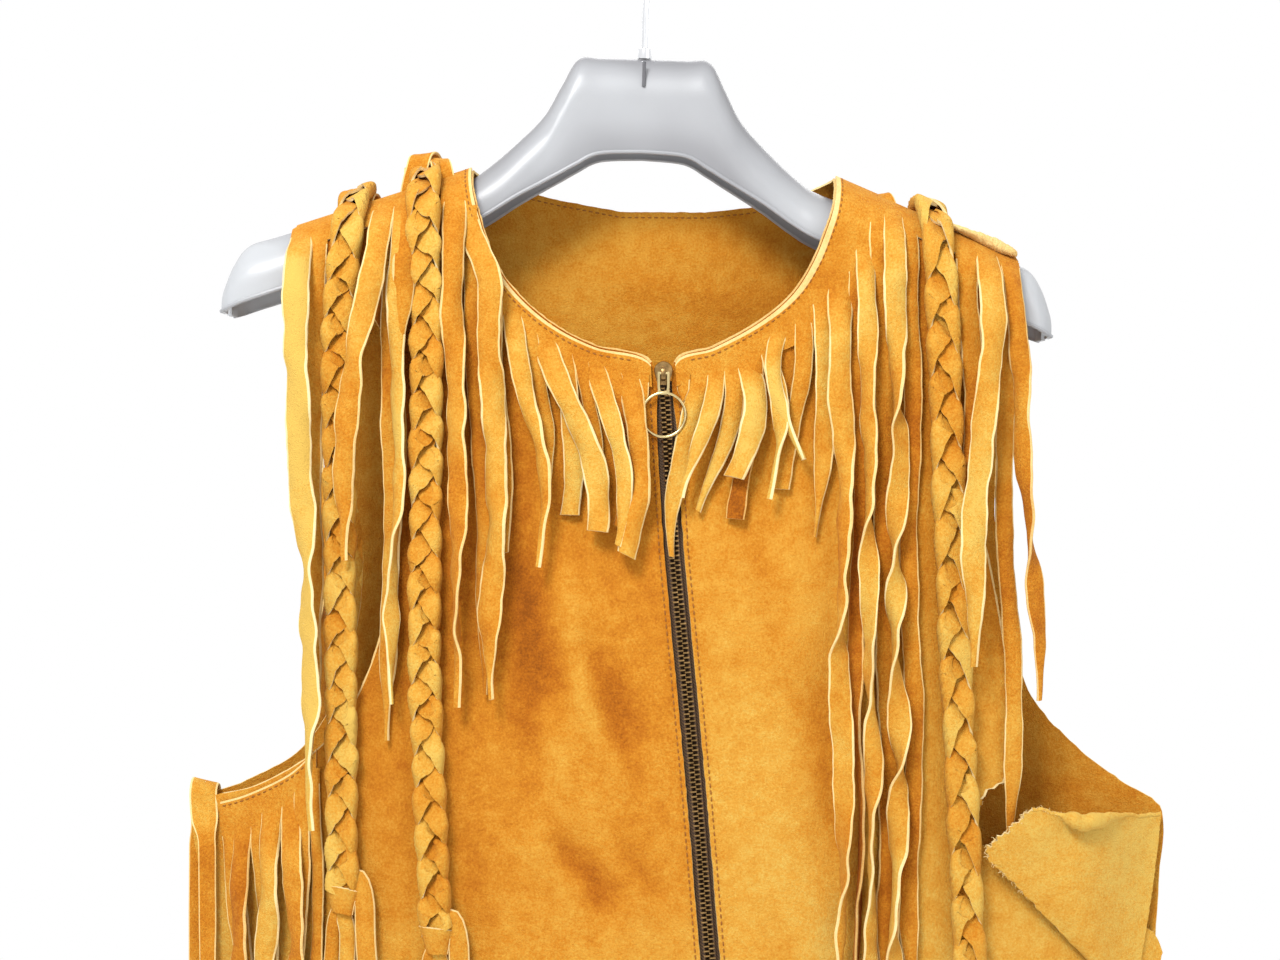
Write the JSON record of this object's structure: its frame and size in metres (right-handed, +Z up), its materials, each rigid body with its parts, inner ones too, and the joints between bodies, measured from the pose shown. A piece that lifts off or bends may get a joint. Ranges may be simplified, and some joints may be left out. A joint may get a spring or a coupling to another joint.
{
  "type": "suede fringe vest on a hanger",
  "caption": "Zip-front suede vest with fringed strips and plaited straps at the shoulders, hanging on a broad contoured hanger; the zip's ring pull swings.",
  "frame": {"origin": "the inside top of the hanger's hook, where a rail bears", "axes": "+Z up, +X to the viewer's right when facing the front of the vest, -Y out of the front"},
  "size_m": [0.5084, 0.1007, 0.7361],
  "materials": {
    "suede": "napped tan suede",
    "suede_pale": "napped pale tan suede with cream cut edges",
    "tape": "woven brown tape",
    "zip_brass": "antique brass",
    "pull_brass": "worn bright brass",
    "hanger_plastic": "smoky translucent plastic",
    "hook_steel": "bright plated wire"
  },
  "bodies": {
    "vest": {"hanger_body": "hanger_plastic", "hanger_hook": "hook_steel", "back_panel": "suede", "front_panel_left_view": "suede", "front_panel_right_view": "suede", "underarm_flap": "suede", "underarm_tie": "suede_pale", "shoulder_roll": "suede_pale", "neck_fringe_left_view": "suede_pale", "neck_fringe_right_view": "suede_pale", "shoulder_fringe_front_left_view": "suede_pale", "shoulder_fringe_front_right_view": "suede_pale", "shoulder_fringe_back_left_view": "suede_pale", "shoulder_fringe_back_right_view": "suede_pale", "underarm_fringe_front_left_view": "suede_pale", "underarm_fringe_back_left_view": "suede_pale", "underarm_fringe_back_right_view": "suede_pale", "plait_left_outer": "suede_pale", "plait_left_inner": "suede_pale", "plait_right": "suede_pale", "zip_tape": "tape", "zip_chain": "zip_brass", "zip_slider": "zip_brass"},
    "pull": {"zip_pull": "pull_brass"}
  },
  "joints": [
    {"name": "pull_swing", "type": "hinge", "parent": "vest", "child": "pull", "pos_m": [0.00676, -0.03301, -0.2545], "axis": [-1, 0, 0], "range_deg": [0, 165]}
  ]
}
